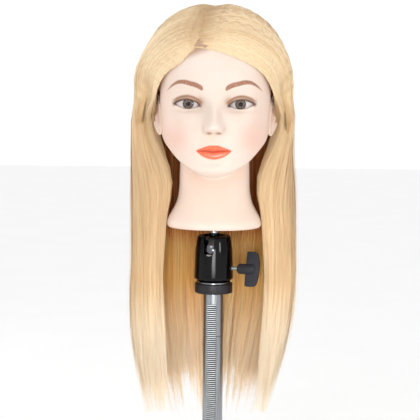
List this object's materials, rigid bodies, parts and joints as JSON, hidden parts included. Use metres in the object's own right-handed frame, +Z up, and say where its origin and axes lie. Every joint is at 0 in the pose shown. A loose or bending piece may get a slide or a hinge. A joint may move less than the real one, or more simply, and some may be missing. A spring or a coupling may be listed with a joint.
{
  "type": "mannequin training head",
  "caption": "Hairdresser's training head with long blonde hair and painted face, on a ball-joint clamp with a wing lock, on a geared centre column.",
  "frame": {"origin": "centre of the flat bottom end of the centre column", "axes": "+Z up along the column, the face looks along -Y, +X is on the right when looking at the face"},
  "size_m": [0.2032, 0.2191, 0.6329],
  "materials": {
    "skin": "satin",
    "scalp": "matte",
    "liner": "matte",
    "eye_white": "gloss",
    "iris": "gloss",
    "cornea": "gloss",
    "hair": "satin",
    "inner_plastic": "satin",
    "brass": "satin",
    "zinc": "polished",
    "black_chrome": "polished",
    "gloss_black": "gloss",
    "charcoal": "satin",
    "charcoal_plastic": "matte",
    "column_aluminium": "satin",
    "rack_steel": "satin"
  },
  "bodies": {
    "stand": {"lift_plunger": "brass", "column_lower_tube": "column_aluminium", "column_upper_tube": "column_aluminium", "column_spigot": "column_aluminium", "column_plug": "column_aluminium", "column_end_cap": "charcoal_plastic", "rack_strip": "rack_steel", "top_plate": "charcoal", "mounting_screw": "rack_steel", "top_plate_grub_screw_1": "rack_steel", "top_plate_grub_screw_2": "rack_steel", "top_plate_grub_screw_3": "rack_steel", "base_insert": "zinc", "ball_housing": "gloss_black", "friction_ring": "inner_plastic"},
    "knob": {"wing_knob": "charcoal_plastic", "lock_screw": "zinc"},
    "swivel": {"ball_cup": "inner_plastic", "hair_lower_left": "hair", "hair_lower_right": "hair", "hair_lower_back": "hair"},
    "ball": {"ball": "black_chrome"},
    "head": {"ball_stud": "zinc", "neck_base_plate": "inner_plastic", "neck_socket": "inner_plastic", "threaded_insert": "brass", "base_plate_screw_1": "zinc", "base_plate_screw_2": "zinc", "base_plate_screw_3": "zinc", "base_plate_screw_4": "zinc", "inner_liner": "liner", "face_neck_skin": "skin", "scalp_cap": "scalp", "eye_white_left": "eye_white", "eye_white_right": "eye_white", "iris_left": "iris", "iris_right": "iris", "cornea_left": "cornea", "cornea_right": "cornea", "hair_crown": "hair", "hair_upper_left": "hair", "hair_upper_right": "hair", "hair_upper_back": "hair"}
  },
  "joints": [
    {"name": "ball_turn", "type": "hinge", "parent": "stand", "child": "swivel", "pos_m": [0, 0, 0.3335], "axis": [0, 0, 1], "continuous": true},
    {"name": "head_nod", "type": "hinge", "parent": "swivel", "child": "ball", "pos_m": [0, 0, 0.3335], "axis": [1, 0, 0], "range_deg": [-15, 15]},
    {"name": "head_side_tilt", "type": "hinge", "parent": "ball", "child": "head", "pos_m": [0, 0, 0.3335], "axis": [0, 1, 0], "range_deg": [-15, 15]},
    {"name": "knob_turn", "type": "hinge", "parent": "stand", "child": "knob", "pos_m": [0, 0, 0.311], "axis": [0.9583, -0.2857, 0], "range_deg": [0, 270]}
  ]
}
